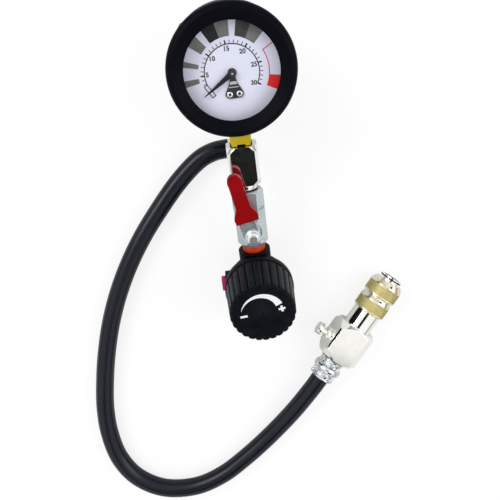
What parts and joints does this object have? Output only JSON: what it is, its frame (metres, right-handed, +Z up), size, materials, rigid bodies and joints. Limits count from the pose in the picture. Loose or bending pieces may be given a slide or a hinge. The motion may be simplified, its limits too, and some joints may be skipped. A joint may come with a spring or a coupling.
{
  "type": "radiator pressure tester",
  "caption": "Cooling-system pressure tester: booted dial gauge, tee, mini ball valve, knob regulator and a hose with bleed block and quick coupler.",
  "frame": {"origin": "on the table under the middle of the tester without its hose; z=0 is the table it lies on", "axes": "+Z up, +Y from the regulator to the gauge, +X to the right seen from the dial; the dial faces +Z leaned 15 degrees toward -Y"},
  "size_m": [0.2324, 0.3435, 0.0882],
  "materials": {
    "boot_rubber": "satin moulded rubber",
    "case_black": "black painted steel",
    "clear_window": "clear moulded window",
    "dial_white": "printed dial",
    "dial_bracket_grey": "dark grey plate",
    "pointer_black": "matt black",
    "movement_brass": "brushed brass",
    "bright_screw": "bright steel screws",
    "stem_brass": "bright machined brass",
    "nickel": "nickel plated",
    "zinc": "zinc plated, slightly blue",
    "steel": "plain steel",
    "seal_black": "black seal",
    "seat_white": "white seat",
    "grip_red": "red dipped vinyl",
    "seal_red": "red sealing ring",
    "regulator_black": "moulded black plastic",
    "knob_black": "ribbed moulded plastic with white print",
    "plug_red": "red ribbed plug",
    "hose_rubber": "smooth black-blue hose",
    "knurl_nickel": "champagne nickel, knurled"
  },
  "bodies": {
    "tester": {"gauge_boot": "boot_rubber", "gauge_case": "case_black", "window": "clear_window", "window_ring": "case_black", "dial_plate": "dial_white", "dial_bracket": "dial_bracket_grey", "bracket_screws": "bright_screw", "hairspring": "movement_brass", "movement_front_plate": "movement_brass", "movement_back_plate": "movement_brass", "bourdon_tube": "movement_brass", "gauge_stem": "stem_brass", "blowout_disc": "seal_black", "tee_block": "nickel", "valve_nipple": "zinc", "nipple_seal": "seal_black", "rear_nipple": "nickel", "rear_elbow": "nickel", "valve_end": "zinc", "valve_body": "zinc", "valve_seats": "seat_white", "stem_gland": "zinc", "outlet_seal": "seal_red", "regulator_body": "regulator_black", "regulator_bonnet": "regulator_black", "range_spring": "steel", "diaphragm": "seal_black", "poppet_spring": "steel", "rear_cap": "regulator_black", "port_plug": "plug_red", "hose": "hose_rubber", "hose_ferrule": "zinc", "hose_stem": "nickel", "coupler_block": "nickel", "bleed_body": "nickel", "bleed_spring": "steel", "coupler_body": "nickel", "sleeve_spring": "steel", "locking_balls": "steel", "coupler_seal": "seal_black", "coupler_spring": "steel", "nose_ring": "seal_black"},
    "lever": {"lever_plate": "zinc", "lever_grip": "grip_red", "lever_nut": "zinc", "lever_washer": "steel", "valve_stem": "steel", "valve_ball": "steel"},
    "knob": {"regulator_knob": "knob_black", "adjusting_screw": "steel"},
    "spring_seat": {"spring_seat": "movement_brass"},
    "pointer": {"pointer": "pointer_black", "pointer_arbor": "movement_brass"},
    "sector": {"sector_gear": "movement_brass"},
    "link": {"tip_link": "steel"},
    "sleeve": {"locking_sleeve": "knurl_nickel"},
    "coupler_poppet": {"coupler_poppet": "movement_brass"},
    "bleed_button": {"bleed_button": "nickel"},
    "regulator_poppet": {"regulator_poppet": "movement_brass"}
  },
  "joints": [
    {"name": "valve_lever_turn", "type": "hinge", "parent": "tester", "child": "lever", "pos_m": [0, -0.03725, 0.04748], "axis": [0, -0.2588, 0.9659], "range_deg": [-10.5, 79.5]},
    {"name": "knob_turn", "type": "hinge", "parent": "tester", "child": "knob", "pos_m": [0, -0.08005, 0.04843], "axis": [0, 0.2588, -0.9659], "range_deg": [0, 1440]},
    {"name": "spring_seat_travel", "type": "slide", "parent": "tester", "child": "spring_seat", "axis": [0, 0.2588, -0.9659], "range_m": [0, 0.0051], "deforming": ["range_spring"]},
    {"name": "pointer_turn", "type": "hinge", "parent": "tester", "child": "pointer", "pos_m": [0, 0.06086, 0.06963], "axis": [0, 0.2588, -0.9659], "range_deg": [0, 240], "stiffness_Nm_per_rad": 0.0002},
    {"name": "sector_turn", "type": "hinge", "parent": "tester", "child": "sector", "pos_m": [-0.01269, 0.05909, 0.05839], "axis": [0, -0.2588, 0.9659], "range_deg": [0, 30.1]},
    {"name": "link_turn", "type": "hinge", "parent": "sector", "child": "link", "pos_m": [-0.01408, 0.05117, 0.05751], "axis": [0, 0.2588, -0.9659], "range_deg": [0, 30.1]},
    {"name": "sleeve_slide", "type": "slide", "parent": "tester", "child": "sleeve", "axis": [-0.6494, -0.7604, 0], "range_m": [0, 0.004], "stiffness_N_per_m": 1500, "springref_m": -0.002, "deforming": ["sleeve_spring"]},
    {"name": "coupler_poppet_slide", "type": "slide", "parent": "tester", "child": "coupler_poppet", "axis": [-0.6494, -0.7604, 0], "range_m": [0, 0.0035], "stiffness_N_per_m": 400, "springref_m": -0.001, "deforming": ["coupler_spring"]},
    {"name": "bleed_button_press", "type": "slide", "parent": "tester", "child": "bleed_button", "axis": [0.7604, -0.6494, 0], "range_m": [0, 0.002], "stiffness_N_per_m": 400, "springref_m": -0.001, "deforming": ["bleed_spring"]},
    {"name": "regulator_poppet_slide", "type": "slide", "parent": "tester", "child": "regulator_poppet", "axis": [0, 0.2588, -0.9659], "range_m": [0, 0.0012], "stiffness_N_per_m": 400, "springref_m": -0.001, "deforming": ["poppet_spring"]}
  ],
  "couplings": [
    {"joint": "spring_seat_travel", "follows": "knob_turn", "m_per_rad": 0.00019894},
    {"joint": "sector_turn", "follows": "pointer_turn", "ratio": 0.125},
    {"joint": "link_turn", "follows": "pointer_turn", "ratio": 0.125}
  ]
}
